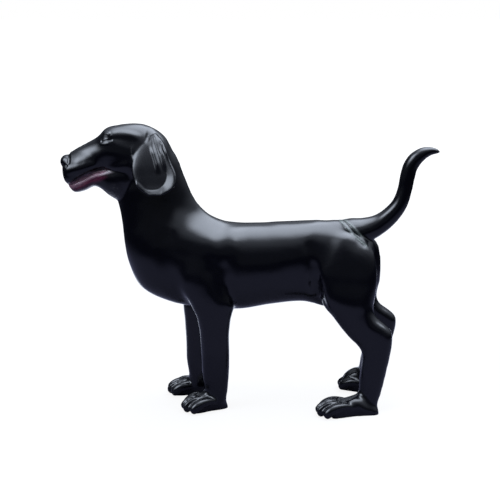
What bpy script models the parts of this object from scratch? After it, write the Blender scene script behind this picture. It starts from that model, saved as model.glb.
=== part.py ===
"""Fibreglass hound standing on four feet, life size, glossy black.

The dog is one hollow casting, so it is one closed solid here.  It faces -X, its left
side is towards -Y, and its soles stand on z = 0.  The carving is given in hundredths
of the dog's height, measured from the soles to the crown.
"""
import math

import bmesh
import bpy
import numpy as np

# Driving dimensions, in metres: the height, and the size of the skin's faces while the
# masses melt together and while the relief is carved
HEIGHT = 0.800
ROUGH_GRAIN = 0.0070
GRAIN = 0.0040

# How many faces the skin keeps, and how much more the head and paws keep than the rest
FACES = 9950
PLAIN = 1.0
FINE = 0.5
THINNING = 0.2

# One hundredth of the height, the unit of every table below
UNIT = HEIGHT / 100

# How far the right legs stand away from the left ones, in hundredths, and between which
# heights each step grows
RIGHT_FORELEG_STEP = -6.2
RIGHT_THIGH_STEP = 2.8
RIGHT_HOCK_STEP = 0.9
RIGHT_HEEL_STEP = -1.9
FORELEG_SPAN = (44, 32)
THIGH_SPAN = (72, 60)
HOCK_SPAN = (38, 28)
HEEL_SPAN = (27, 8)

LEFT = -1
RIGHT = 1

# Rungs run from nose to rump or from top to toe.  Each gives the two ends of a slice
# seen from the side (first end x, z; second end x, z), the distance of its middle from
# the centre plane, half its width, where it is widest (0 second end, 1 first end) and
# how square its two halves are (2 is an ellipse).
TRUNK = [
    (-29.8, 94.8, -44.5, 80.0, 0.0, 5.6, 0.50, 2.2, 2.2),
    (-25.4, 89.5, -45.8, 75.6, 0.0, 7.0, 0.50, 2.2, 2.2),
    (-22.2, 81.5, -44.8, 70.7, 0.0, 7.8, 0.46, 1.9, 2.2),
    (-19.0, 74.2, -44.0, 65.5, 0.0, 8.6, 0.42, 1.6, 2.2),
    (-14.6, 69.2, -43.4, 59.0, 0.0, 9.8, 0.40, 1.5, 2.3),
    (-9.0, 66.4, -42.0, 51.5, 0.0, 10.9, 0.42, 1.7, 2.3),
    (-3.5, 65.5, -38.1, 43.2, 0.0, 11.5, 0.44, 2.1, 2.2),
    (1.0, 65.5, -29.8, 38.4, 0.0, 11.6, 0.46, 2.1, 2.2),
    (5.5, 65.6, -18.0, 35.5, 0.0, 11.5, 0.49, 2.1, 2.2),
    (10.0, 65.9, -4.0, 35.0, 0.0, 11.4, 0.50, 2.1, 2.2),
    (15.0, 66.1, 7.5, 36.8, 0.0, 11.0, 0.50, 2.1, 2.2),
    (21.0, 66.4, 18.5, 37.7, 0.0, 9.7, 0.52, 2.1, 2.2),
    (27.5, 66.7, 27.0, 35.9, 0.0, 8.8, 0.52, 1.7, 2.2),
    (33.0, 66.3, 35.5, 38.0, 0.0, 8.6, 0.52, 1.7, 2.2),
    (39.0, 63.6, 41.0, 44.0, 0.0, 6.6, 0.60, 2.2, 2.2),
    (43.1, 59.5, 43.5, 51.0, 0.0, 3.4, 0.60, 2.0, 2.0),
]
SKULL = [
    (-63.8, 87.8, -64.0, 84.6, 0.0, 2.0, 0.50, 2.0, 2.2),
    (-62.4, 89.5, -63.7, 81.4, 0.0, 3.7, 0.38, 1.8, 2.4),
    (-60.1, 91.1, -62.0, 79.2, 0.0, 4.8, 0.38, 1.8, 2.6),
    (-57.3, 92.6, -58.6, 80.8, 0.0, 5.0, 0.38, 1.8, 2.5),
    (-54.3, 94.2, -54.4, 82.4, 0.0, 5.2, 0.38, 1.9, 2.4),
    (-51.4, 95.9, -50.6, 83.7, 0.0, 5.4, 0.42, 2.1, 2.2),
    (-48.8, 98.5, -47.4, 83.0, 0.0, 6.3, 0.50, 2.4, 2.2),
    (-44.6, 99.6, -44.0, 80.0, 0.0, 7.0, 0.50, 2.1, 2.2),
    (-38.6, 100.15, -39.0, 77.0, 0.0, 7.4, 0.46, 2.0, 2.2),
    (-33.4, 98.9, -34.0, 77.0, 0.0, 7.2, 0.46, 2.0, 2.2),
    (-28.9, 95.5, -30.0, 80.0, 0.0, 6.2, 0.50, 2.2, 2.2),
    (-26.4, 90.8, -27.6, 84.0, 0.0, 4.0, 0.50, 2.0, 2.0),
]
JAW = [
    (-61.9, 79.4, -61.6, 77.8, 0.0, 1.7, 0.50, 2.2, 2.0),
    (-60.5, 80.4, -59.8, 76.4, 0.0, 3.3, 0.50, 2.0, 2.0),
    (-57.2, 82.0, -56.4, 77.1, 0.0, 4.3, 0.50, 2.0, 2.0),
    (-54.0, 83.7, -53.3, 78.5, 0.0, 4.8, 0.55, 2.0, 2.0),
    (-50.6, 84.9, -51.0, 77.7, 0.0, 5.2, 0.60, 2.2, 2.0),
    (-47.4, 86.0, -48.6, 75.6, 0.0, 5.8, 0.60, 2.3, 2.0),
    (-43.6, 88.0, -45.7, 73.7, 0.0, 6.5, 0.60, 2.2, 2.0),
    (-38.6, 90.0, -42.6, 71.6, 0.0, 6.4, 0.60, 2.2, 2.0),
    (-34.0, 90.0, -39.0, 73.0, 0.0, 5.2, 0.60, 2.2, 2.0),
]
EAR = [
    (-35.4, 96.0, -31.8, 96.8, 3.4, 1.2, 0.50, 2.2, 1.9),
    (-37.8, 93.4, -29.8, 94.6, 5.0, 1.4, 0.50, 2.8, 2.0),
    (-39.0, 90.4, -28.1, 91.6, 6.3, 1.5, 0.50, 3.4, 2.1),
    (-39.5, 86.8, -26.3, 88.0, 7.4, 1.5, 0.50, 3.8, 2.6),
    (-39.1, 83.4, -24.9, 84.2, 8.1, 1.5, 0.50, 3.8, 3.2),
    (-37.9, 80.8, -25.1, 81.0, 8.6, 1.5, 0.50, 3.6, 3.4),
    (-36.0, 78.8, -26.8, 78.8, 9.0, 1.5, 0.50, 3.2, 3.2),
    (-33.6, 77.2, -29.4, 77.1, 9.3, 1.2, 0.50, 2.8, 2.8),
]
FORELEG = [
    (-22.5, 65.0, -12.0, 64.0, 4.6, 2.0, 0.50, 2.0, 2.0),
    (-26.0, 57.5, -9.5, 57.0, 7.3, 3.6, 0.50, 2.0, 2.0),
    (-26.5, 50.0, -7.6, 49.0, 8.2, 4.3, 0.50, 2.1, 2.1),
    (-24.2, 44.0, -6.0, 43.0, 8.6, 4.2, 0.50, 2.3, 2.3),
    (-20.8, 39.2, -5.0, 38.6, 8.8, 4.0, 0.50, 2.4, 2.4),
    (-18.4, 34.5, -6.2, 34.5, 8.6, 3.8, 0.50, 2.4, 2.4),
    (-17.3, 28.5, -7.0, 28.5, 8.4, 3.6, 0.50, 2.3, 2.3),
    (-16.8, 20.0, -7.0, 20.0, 8.1, 3.5, 0.50, 2.3, 2.3),
    (-16.6, 13.0, -7.2, 13.0, 7.5, 3.4, 0.50, 2.3, 2.3),
    (-15.8, 8.0, -7.7, 7.6, 7.0, 3.3, 0.50, 2.3, 2.3),
    (-15.4, 2.5, -8.3, 2.5, 6.8, 3.3, 0.50, 2.3, 2.3),
]
HINDLEG = [
    (27.5, 63.4, 38.5, 61.4, 4.0, 2.5, 0.50, 2.0, 2.0),
    (23.6, 57.0, 42.6, 56.8, 5.8, 4.1, 0.50, 2.0, 2.0),
    (22.3, 50.5, 43.9, 50.0, 6.6, 5.0, 0.50, 2.1, 2.1),
    (23.2, 44.0, 43.8, 43.6, 7.1, 5.2, 0.50, 2.2, 2.2),
    (25.0, 38.8, 43.1, 39.6, 7.7, 4.9, 0.50, 2.2, 2.2),
    (28.3, 34.8, 42.8, 36.8, 8.2, 4.4, 0.50, 2.3, 2.3),
    (31.2, 30.9, 43.8, 33.9, 8.7, 4.0, 0.50, 2.3, 3.0),
    (34.4, 27.0, 46.6, 31.5, 9.1, 3.8, 0.50, 2.3, 3.4),
    (37.6, 23.8, 49.2, 28.6, 9.4, 3.6, 0.50, 2.3, 3.4),
    (39.1, 20.6, 49.1, 23.0, 9.7, 3.4, 0.50, 2.3, 3.0),
    (38.5, 14.5, 47.7, 15.0, 9.9, 3.3, 0.50, 2.3, 2.3),
    (38.2, 8.0, 46.2, 8.0, 10.0, 3.3, 0.50, 2.3, 2.3),
    (38.0, 2.5, 44.6, 2.5, 10.1, 3.5, 0.50, 2.3, 2.3),
]
# The tail's stations: x, z and radius
TAIL = [
    (31.0, 61.4, 4.9),
    (36.0, 62.0, 5.2),
    (40.8, 63.2, 4.3),
    (45.3, 65.3, 3.5),
    (49.1, 68.5, 3.05),
    (51.9, 72.3, 2.7),
    (53.4, 76.8, 2.5),
    (54.2, 81.2, 2.55),
    (55.1, 85.0, 2.55),
    (56.9, 87.9, 2.45),
    (59.6, 89.9, 2.0),
    (62.4, 90.6, 1.3),
    (65.0, 90.3, 0.55),
]
# A paw's body, from the heel forward: distance, height of the top and half width
FOREPAW = [
    (0.0, 1.2, 1.1),
    (0.8, 2.4, 2.1),
    (3.2, 3.8, 2.9),
    (6.6, 6.2, 3.2),
    (9.0, 6.2, 3.7),
    (11.4, 5.0, 4.0),
    (13.2, 3.5, 3.7),
]
HINDPAW = [
    (0.0, 1.2, 2.1),
    (0.9, 2.6, 3.1),
    (4.2, 4.0, 3.4),
    (7.8, 6.6, 3.4),
    (11.0, 5.7, 3.8),
    (14.6, 5.1, 4.4),
    (17.2, 3.8, 4.3),
]
TURNED_PAW = [
    (0.0, 1.2, 2.0),
    (0.9, 3.0, 2.9),
    (3.0, 5.6, 3.4),
    (5.4, 8.2, 3.7),
    (7.8, 8.6, 4.0),
    (10.0, 7.8, 4.2),
    (12.0, 6.4, 4.2),
    (13.2, 4.6, 3.8),
]
PAW_ROOT = -1.5
# Each paw: its shape, the x of its heel and its distance from the centre plane, its side,
# its length and the degrees that its toes turn out
PAWS = [
    (FOREPAW, -8.0, 5.1, LEFT, 16.3, 20.0),
    (FOREPAW, -8.0 + RIGHT_FORELEG_STEP, 8.5, RIGHT, 15.6, 2.0),
    (HINDPAW, 44.9, 10.8, LEFT, 21.8, 9.5),
    (TURNED_PAW, 44.9 + RIGHT_THIGH_STEP + RIGHT_HOCK_STEP + RIGHT_HEEL_STEP, 8.4, RIGHT, 15.0, 31.0),
]
# A toe, back from its tip: distance, height of its middle and radius
TOE = [
    (9.6, 3.5, 1.2),
    (7.2, 3.8, 1.5),
    (4.6, 3.7, 1.7),
    (2.4, 2.8, 1.75),
    (0.9, 1.6, 1.6),
    (0.1, 1.1, 1.1),
]
TOE_FLATNESS = 0.92
# The four toes of a paw: place across the paw at the knuckle, and how far each falls
# short of the paw's tip
TOES = [(-3.9, 1.7), (-1.4, 0.1), (1.4, 0.0), (3.9, 1.7)]
# Half width and height of the valley between two toes
TOE_VALLEY = (1.1, -0.40)

# Nose and eyes: middle and radii
NOSE = (-62.5, 0.0, 87.0)
NOSE_RADII = (2.3, 2.8, 2.4)
EYE = (-48.3, 95.0)
EYE_DISTANCE = 4.8
EYE_RADII = (0.9, 0.6, 0.6)

# How often the trunk and legs, the whole skin and the carving are rubbed smooth
TRUNK_RUBS = 60
SKIN_RUBS = 8
CARVING_RUBS = 3
LAST_RUBS = 2

# What is carved on both flanks.  Each stroke is a line seen from the side, as x, z
# knots, its half width and its height over the skin.
MUSCLE = [
    ([(-49.6, 96.6), (-45.0, 97.0), (-40.0, 96.7), (-35.6, 95.4)], 1.7, 0.35),
    ([(-29.0, 66.0), (-21.0, 63.6), (-12.0, 60.6), (-2.0, 58.0)], 8.0, 0.90),
    ([(-10.8, 68.0), (-9.4, 62.0), (-8.2, 56.0), (-8.2, 52.0)], 4.2, -0.40),
    ([(-8.4, 56.0), (-8.3, 50.5), (-7.2, 46.1), (-5.6, 41.0), (-5.0, 37.0)], 2.6, -0.50),
    ([(-15.4, 54.0), (-12.6, 47.6), (-10.4, 43.4), (-8.0, 39.0)], 2.8, -0.25),
    ([(-11.8, 53.0), (-9.8, 46.6), (-7.4, 40.0)], 2.6, 0.15),
    ([(-27.0, 66.0), (-29.0, 57.0), (-27.2, 48.0), (-23.6, 41.4), (-20.0, 36.0)], 4.0, -0.50),
    ([(-15.0, 38.0), (-14.0, 28.0), (-13.4, 18.0)], 2.6, 0.18),
    ([(-15.6, 14.0), (-15.2, 10.0), (-14.8, 7.0)], 2.2, 0.30),
    ([(28.0, 63.6), (32.0, 62.4), (36.0, 61.0)], 5.0, 0.30),
    ([(24.0, 40.0), (31.0, 39.0), (39.0, 38.0), (43.0, 38.0)], 9.0, 0.50),
    ([(20.2, 64.4), (20.9, 60.0), (21.7, 53.5), (22.6, 44.4), (24.0, 39.0), (25.4, 36.0)], 4.0, -1.00),
    ([(23.0, 47.0), (24.8, 40.8), (27.4, 36.2), (31.0, 32.0)], 1.8, -0.40),
    ([(36.8, 39.0), (38.6, 33.6), (39.6, 29.6), (41.4, 25.0)], 2.6, -0.20),
    ([(45.4, 34.0), (47.2, 27.0), (46.6, 20.0), (45.4, 12.0)], 1.8, 0.15),
    ([(43.4, 31.0), (43.9, 22.0), (43.0, 13.0)], 1.6, -0.14),
]
SOFT_END = 4.0
# Eye sockets, slots, lids and brows, the upper lip, cheeks, temples and nostrils
FACE = [
    ([(-49.9, 95.3), (-48.2, 95.7), (-46.4, 95.5)], 1.3, -0.35),
    ([(-49.8, 94.5), (-48.2, 94.9), (-46.6, 95.0)], 0.7, -0.35),
    ([(-50.1, 93.7), (-48.8, 93.8), (-47.4, 94.0)], 0.7, 0.30),
    ([(-49.4, 97.0), (-48.2, 97.3), (-46.8, 97.2)], 1.4, 0.25),
    ([(-61.4, 84.6), (-57.4, 84.8), (-53.4, 86.2)], 2.2, 0.35),
    ([(-52.4, 90.4), (-48.4, 90.6), (-44.6, 91.0)], 2.2, 0.25),
    ([(-44.0, 95.6), (-40.6, 94.4)], 2.6, -0.20),
    ([(-63.6, 86.3), (-62.8, 86.7), (-62.1, 86.4)], 0.8, -0.60),
]
# The mouth: its line, and the grooves and rolls that run beside it at a height over it,
# with their half widths and heights
MOUTH_LINE = [(-62.2, 78.7), (-59.6, 79.6), (-57.6, 80.8), (-54.9, 82.3), (-52.0, 83.3),
              (-49.4, 83.9), (-46.8, 84.1)]
LIPS = [
    (1.7, 0.8, -0.45),
    (0.2, 1.1, 0.25),
    (-1.5, 0.8, -0.40),
]
EAR_EDGE = [(-36.6, 79.6), (-34.6, 77.9), (-32.0, 76.9), (-29.4, 76.9), (-27.0, 78.2), (-25.2, 80.4),
            (-24.4, 83.2), (-24.7, 86.0), (-26.0, 88.6)]
EAR_CORNER = [(-29.0, 76.6), (-24.6, 80.4)]
EAR_DISH = [(-36.0, 84.6), (-34.0, 81.6), (-31.0, 80.6), (-28.6, 82.2), (-28.0, 86.4)]
EAR_FOLDS = [
    [(-33.3, 98.0), (-32.4, 96.0), (-31.7, 92.0), (-31.1, 86.9), (-31.1, 83.5)],
    [(-31.9, 98.4), (-30.3, 95.3), (-29.5, 90.2), (-28.3, 86.2), (-28.0, 82.5)],
    [(-30.5, 97.6), (-28.9, 94.6), (-27.7, 91.2), (-26.5, 87.6)],
]
EAR_VALLEYS = [
    [(-34.6, 97.0), (-33.6, 94.0), (-33.2, 89.0), (-33.0, 85.0)],
    [(-32.6, 98.2), (-31.3, 95.4), (-30.6, 91.0), (-29.8, 86.4), (-29.6, 83.5)],
    [(-31.2, 98.0), (-29.6, 94.9), (-28.6, 90.8), (-27.4, 87.0)],
]
TAIL_SEAM = [(31.2, 67.6), (34.0, 65.4), (36.3, 62.5), (38.4, 60.2), (40.0, 58.2)]
# Half width and height or outward push of what is carved on the ears and the tail seam
DISH = (3.0, -0.80)
CORNER = (6.5, 1.50)
EDGE = (2.3, 1.50)
FOLD = (1.0, 0.50)
VALLEY = (0.8, -0.35)
SEAM = (1.3, -0.30)


def clear_scene():
    for thing in list(bpy.data.objects):
        bpy.data.objects.remove(thing, do_unlink=True)


def new_collection(name):
    collection = bpy.data.collections.new(name)
    bpy.context.scene.collection.children.link(collection)
    return collection


def move_to(thing, collection):
    for holder in list(thing.users_collection):
        holder.objects.unlink(thing)
    collection.objects.link(thing)


def through(knots, spans):
    """Rows read from the smooth curve that passes through the knots."""
    rows = np.array(knots, float)
    rows = np.vstack([2 * rows[0] - rows[1], rows, 2 * rows[-1] - rows[-2]])
    found = []
    for before, start, end, after in zip(rows, rows[1:], rows[2:], rows[3:]):
        for t in np.arange(spans) / spans:
            found.append(
                0.5 * (2 * start + (end - before) * t
                       + (2 * before - 5 * start + 4 * end - after) * t ** 2
                       + (3 * start - before - 3 * end + after) * t ** 3)
            )
    found.append(rows[-2])
    return np.array(found)


def loft(name, rings):
    """A closed mesh object through rings that have as many points each."""
    count, sides = rings.shape[:2]
    mesh = bpy.data.meshes.new(name)
    work = bmesh.new()
    grid = [[work.verts.new(point * UNIT) for point in ring] for ring in rings]
    for row in range(count - 1):
        for k in range(sides):
            n = (k + 1) % sides
            work.faces.new((grid[row][k], grid[row][n], grid[row + 1][n], grid[row + 1][k]))
    work.faces.new(reversed(grid[0]))
    work.faces.new(grid[-1])
    bmesh.ops.recalc_face_normals(work, faces=work.faces)
    work.to_mesh(mesh)
    work.free()
    solid = bpy.data.objects.new(name, mesh)
    bpy.context.scene.collection.objects.link(solid)
    return solid


def slice_ring(rung, side, sides):
    """One slice of a body mass: two half super-ellipses set end to end."""
    first_x, first_z, second_x, second_z, centre, half, widest, top_power, low_power = rung
    turn = 2 * math.pi * np.arange(sides) / sides
    power = np.where(np.sin(turn) > 0, top_power, low_power)
    reach = np.where(np.sin(turn) > 0, 1 - widest, widest)
    across = half * np.sign(np.cos(turn)) * np.abs(np.cos(turn)) ** (2 / power)
    along = widest + reach * np.sign(np.sin(turn)) * np.abs(np.sin(turn)) ** (2 / power)
    ring = np.empty((sides, 3))
    ring[:, 0] = second_x + (first_x - second_x) * along
    ring[:, 1] = side * centre + across
    ring[:, 2] = second_z + (first_z - second_z) * along
    return ring


def mass(name, rungs, side=RIGHT, sides=36, spans=5):
    """A body mass lofted through its rungs."""
    rungs = through(rungs, spans)
    return loft(name, np.array([slice_ring(rung, side, sides) for rung in rungs]))


def stepped(rungs, step, span):
    """A leg's rungs moved along by step, growing from none at the span's start."""
    start, end = span
    moved = []
    for first_x, first_z, second_x, second_z, *rest in rungs:
        share = min(max((start - (first_z + second_z) / 2) / (start - end), 0.0), 1.0)
        shift = step * share * share * (3 - 2 * share)
        moved.append((first_x + shift, first_z, second_x + shift, second_z, *rest))
    return moved


def tube(name, stations, sides=20, spans=5):
    """A round bar through stations of x, y, z, half width and half height."""
    rows = through(stations, spans)
    middle = rows[:, :3]
    ahead = np.gradient(middle, axis=0)
    ahead /= np.linalg.norm(ahead, axis=1)[:, None]
    across = np.cross(ahead, (0.0, 0.0, 1.0))
    across /= np.linalg.norm(across, axis=1)[:, None]
    above = np.cross(across, ahead)
    turn = 2 * math.pi * np.arange(sides) / sides
    rings = (middle[:, None, :]
             + across[:, None, :] * (rows[:, 3, None] * np.cos(turn))[:, :, None]
             + above[:, None, :] * (rows[:, 4, None] * np.sin(turn))[:, :, None])
    return loft(name, rings)


def ball(name, centre, radii):
    """An ellipsoid, in hundredths."""
    bpy.ops.mesh.primitive_uv_sphere_add(segments=32, ring_count=20, radius=UNIT)
    solid = bpy.context.active_object
    solid.name = name
    solid.location = [value * UNIT for value in centre]
    solid.scale = radii
    return solid


def baked(solid):
    """The object with its modifiers worked into its mesh."""
    graph = bpy.context.evaluated_depsgraph_get()
    mesh = bpy.data.meshes.new_from_object(solid.evaluated_get(graph))
    solid.modifiers.clear()
    solid.data = mesh
    return solid


def fuse(name, solids, grain):
    """The solids melted into one skin with even faces."""
    work = bmesh.new()
    bpy.context.view_layer.update()
    for solid in solids:
        copy = solid.data.copy()
        copy.transform(solid.matrix_world)
        work.from_mesh(copy)
        bpy.data.meshes.remove(copy)
        bpy.data.objects.remove(solid, do_unlink=True)
    mesh = bpy.data.meshes.new(name)
    work.to_mesh(mesh)
    work.free()
    joined = bpy.data.objects.new(name, mesh)
    bpy.context.scene.collection.objects.link(joined)
    skin = joined.modifiers.new("skin", "REMESH")
    skin.mode = "VOXEL"
    skin.voxel_size = grain
    return baked(joined)


def get_points(mesh):
    points = np.empty(len(mesh.vertices) * 3)
    mesh.vertices.foreach_get("co", points)
    return points.reshape(-1, 3)


def get_normals(mesh):
    normals = np.empty(len(mesh.vertices) * 3)
    mesh.vertices.foreach_get("normal", normals)
    return normals.reshape(-1, 3)


def set_points(mesh, points):
    mesh.vertices.foreach_set("co", points.ravel())
    mesh.update()


def relax(mesh, rounds, share=None):
    """Rub a skin smooth without shrinking it, by a pull and a push in each round."""
    edges = np.empty(len(mesh.edges) * 2, int)
    mesh.edges.foreach_get("vertices", edges)
    one, two = edges.reshape(-1, 2).T
    points = get_points(mesh)
    total = len(points)
    links = np.bincount(one, minlength=total) + np.bincount(two, minlength=total)
    weight = 1.0 if share is None else share[:, None]
    for _ in range(rounds):
        for pull in (0.50, -0.52):
            drift = np.empty_like(points)
            for axis in range(3):
                flat = points[:, axis]
                drift[:, axis] = (np.bincount(one, flat[two], total)
                                  + np.bincount(two, flat[one], total)) / links - flat
            points = points + drift * pull * weight
    set_points(mesh, points)


def to_paw(heel, stance, side, degrees, rows):
    """Rows of forward, across and up, turned out by an angle and set at a heel."""
    rows = np.array(rows, float)
    turn = math.radians(degrees)
    ahead = np.array((-math.cos(turn), side * math.sin(turn), 0.0))
    out = np.array((math.sin(turn), side * math.cos(turn), 0.0))
    moved = rows[..., 0, None] * ahead + rows[..., 1, None] * out
    moved[..., 2] += rows[..., 2]
    return moved + np.array((heel, side * stance, 0.0))


def paw(shape, heel, stance, side, _, degrees, sides=28, squareness=0.8):
    """A paw's body, which melts into the leg."""
    turns = 2 * math.pi * np.arange(sides) / sides
    rings = []
    for ahead, top, half in through(shape, 5):
        across = half * np.sign(np.cos(turns)) * np.abs(np.cos(turns)) ** squareness
        rise = np.sign(np.sin(turns)) * np.abs(np.sin(turns)) ** squareness
        up = (top + PAW_ROOT) / 2 + (top - PAW_ROOT) / 2 * rise
        rings.append(np.stack([np.full(sides, ahead), across, up], axis=1))
    return loft("paw", to_paw(heel, stance, side, degrees, np.array(rings)))


def toes(_, heel, stance, side, length, degrees):
    """The four toes of a paw."""
    solids = []
    for across, short in TOES:
        path = np.array([
            (length - short - back, across * (1 - 0.05 * max(back - 3, 0)), high,
             radius * TOE_FLATNESS, radius)
            for back, high, radius in TOE
        ])
        path[:, :3] = to_paw(heel, stance, side, degrees, path[:, :3])
        solids.append(tube("toe", path))
    return solids


def torso():
    """Neck, trunk, skull, legs and the paws' bodies as one smooth skin."""
    right_foreleg = stepped(FORELEG, RIGHT_FORELEG_STEP, FORELEG_SPAN)
    right_hindleg = stepped(HINDLEG, RIGHT_THIGH_STEP, THIGH_SPAN)
    right_hindleg = stepped(right_hindleg, RIGHT_HOCK_STEP, HOCK_SPAN)
    right_hindleg = stepped(right_hindleg, RIGHT_HEEL_STEP, HEEL_SPAN)
    solids = [
        mass("trunk", TRUNK), mass("skull", SKULL),
        mass("left foreleg", FORELEG, LEFT), mass("left hindleg", HINDLEG, LEFT),
        mass("right foreleg", right_foreleg), mass("right hindleg", right_hindleg),
    ]
    solids += [paw(*values) for values in PAWS]
    skin = fuse("torso", solids, ROUGH_GRAIN)
    relax(skin.data, TRUNK_RUBS)
    smoother = skin.modifiers.new("smoother", "SUBSURF")
    smoother.levels = 1
    smoother.render_levels = 1
    return baked(skin)


def details():
    """Jaw, nose, tail, ears, eyes and toes."""
    solids = [mass("jaw", JAW), ball("nose", NOSE, NOSE_RADII)]
    solids.append(tube("tail", [(x, 0.0, z, radius, radius) for x, z, radius in TAIL]))
    for side in (LEFT, RIGHT):
        solids.append(mass("ear", EAR, side))
        solids.append(ball("eye", (EYE[0], side * EYE_DISTANCE, EYE[1]), EYE_RADII))
    for values in PAWS:
        solids += toes(*values)
    return solids


def beside(points, line, axes=(0, 2)):
    """How far the points are from a line of knots drawn on a view, and from its nearer end."""
    rows = through(line, 5)
    flat = points[:, axes] / UNIT
    gap = np.full(len(points), np.inf)
    passed = np.zeros(len(points))
    length = 0.0
    for start, end in zip(rows, rows[1:]):
        along = end - start
        span = np.linalg.norm(along)
        share = np.clip((flat - start) @ along / max(span * span, 1e-9), 0.0, 1.0)
        away = np.linalg.norm(flat - start - share[:, None] * along, axis=1)
        closer = away < gap
        gap[closer] = away[closer]
        passed[closer] = length + span * share[closer]
        length += span
    return gap, np.minimum(passed, length - passed)


def facing_out(points, normals):
    """One where the skin faces away from the centre plane, fading to none."""
    outward = np.clip(2.0 * normals[:, 1] * np.sign(points[:, 1]), 0.0, 1.0)
    return outward * outward * (3 - 2 * outward)


def all_round(points, normals):
    return np.ones(len(points))


def on_paws(points, normals):
    return np.clip((7.0 - points[:, 2] / UNIT) / 2, 0.0, 1.0)


def past_ear_middle(points, before):
    """How far outward of the ears' middle the points are, from so much before it."""
    rungs = sorted(((first + second) / 2, middle) for _, first, _, second, middle, *_ in EAR)
    heights, middles = zip(*rungs)
    middle = np.interp(points[:, 2] / UNIT, heights, middles)
    return np.clip(np.abs(points[:, 1]) / UNIT - middle + before, 0.0, None)


def on_ears(points, normals):
    """One on the outer half of the ears."""
    return np.clip(past_ear_middle(points, 0.0) / 0.7, 0.0, 1.0) * facing_out(points, normals)


def carve(mesh, line, half_width, height, where=facing_out, axes=(0, 2), end=0.0):
    """Raise or sink the skin along a line that is drawn on a view, gently at soft ends."""
    points = get_points(mesh)
    normals = get_normals(mesh)
    gap, to_end = beside(points, line, axes)
    share = np.clip(1 - (gap / half_width) ** 2, 0.0, 1.0) ** 2 * where(points, normals)
    if end:
        fade = np.clip(to_end / end, 0.0, 1.0)
        share *= fade * fade * (3 - 2 * fade)
    set_points(mesh, points + normals * (share * height * UNIT)[:, None])


def flare(mesh, line, half_width, push):
    """Turn the ears outward round a line on the side view."""
    points = get_points(mesh)
    share = np.clip(1 - (beside(points, line)[0] / half_width) ** 2, 0.0, 1.0) ** 2
    share *= np.clip(past_ear_middle(points, 0.4) / 0.4, 0.0, 1.0)
    points[:, 1] += np.sign(points[:, 1]) * share * push * UNIT
    set_points(mesh, points)


def carve_ears(mesh):
    """A dish in each ear, its lower edge rolled outward, and folds from the crown."""
    carve(mesh, EAR_DISH, *DISH, on_ears)
    flare(mesh, EAR_CORNER, *CORNER)
    flare(mesh, EAR_EDGE, *EDGE)
    for fold in EAR_FOLDS:
        carve(mesh, fold, *FOLD, on_ears, end=2.0)
    for valley in EAR_VALLEYS:
        carve(mesh, valley, *VALLEY, on_ears, end=2.0)


def part_toes(mesh):
    """Valleys between the toes, running back over each paw."""
    for _, heel, stance, side, length, degrees in PAWS:
        for (inner, _), (outer, _) in zip(TOES, TOES[1:]):
            across = (inner + outer) / 2
            rows = [(length + 0.6, across, 0.0), (length - 3.0, across, 0.0),
                    (length - 8.0, 0.8 * across, 0.0)]
            valley = to_paw(heel, stance, side, degrees, rows)[:, :2]
            carve(mesh, valley, *TOE_VALLEY, on_paws, (0, 1))


def carve_all(mesh):
    """The sculptor's relief, from the broad to the crisp."""
    for stroke in MUSCLE:
        carve(mesh, *stroke, end=SOFT_END)
    relax(mesh, CARVING_RUBS)
    for stroke in FACE:
        carve(mesh, *stroke)
    for up, half_width, height in LIPS:
        carve(mesh, [(x, z + up) for x, z in MOUTH_LINE[1:-1]], half_width, height, all_round)
    carve_ears(mesh)
    part_toes(mesh)
    carve(mesh, TAIL_SEAM, *SEAM, end=2.0)
    relax(mesh, LAST_RUBS)


def thinned(dog):
    """The dog with fewer faces, most of them kept on the head and paws."""
    points = get_points(dog.data) / UNIT
    head = points[:, 0] < -24
    feet = points[:, 2] < 8
    plain = dog.vertex_groups.new(name="plain")
    plain.add(np.flatnonzero(~(head | feet)).tolist(), PLAIN, "REPLACE")
    plain.add(np.flatnonzero(head | feet).tolist(), FINE, "REPLACE")
    thin = dog.modifiers.new("thin", "DECIMATE")
    thin.ratio = FACES / (2 * len(dog.data.polygons))
    thin.vertex_group = plain.name
    thin.vertex_group_factor = THINNING
    return baked(dog)


def stand(dog, cutters):
    """Centre the dog on its box and cut its soles flat."""
    points = get_points(dog.data)
    middle = (points.min(axis=0) + points.max(axis=0)) / 2
    points[:, :2] -= middle[:2]
    set_points(dog.data, points)
    dog.data.shade_smooth()
    depth = HEIGHT / 10
    bpy.ops.mesh.primitive_cube_add(size=1.0, location=(0.0, 0.0, -depth / 2))
    ground = bpy.context.active_object
    ground.name = "ground_cutter"
    ground.scale = (2 * HEIGHT, HEIGHT, depth)
    ground.hide_render = True
    ground.display_type = "WIRE"
    move_to(ground, cutters)
    soles = dog.modifiers.new("soles", "BOOLEAN")
    soles.operation = "DIFFERENCE"
    soles.solver = "EXACT"
    soles.object = ground


def enamel():
    """Black gelcoat, polished."""
    material = bpy.data.materials.new("black enamel")
    material.use_nodes = True
    shader = material.node_tree.nodes["Principled BSDF"]
    shader.inputs["Base Color"].default_value = (0.006, 0.006, 0.009, 1.0)
    shader.inputs["Roughness"].default_value = 0.12
    shader.inputs["Metallic"].default_value = 0.0
    return material


def main():
    clear_scene()
    statue = new_collection("Dog statue")
    cutters = new_collection("Cutters")
    dog = fuse("dog", [torso()] + details(), GRAIN)
    relax(dog.data, SKIN_RUBS)
    carve_all(dog.data)
    dog = thinned(dog)
    stand(dog, cutters)
    dog.data.materials.append(enamel())
    move_to(dog, statue)


main()
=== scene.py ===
"""Glossy black fibreglass hound, life size: the casting, its finish, the studio and the camera."""
import math

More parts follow.
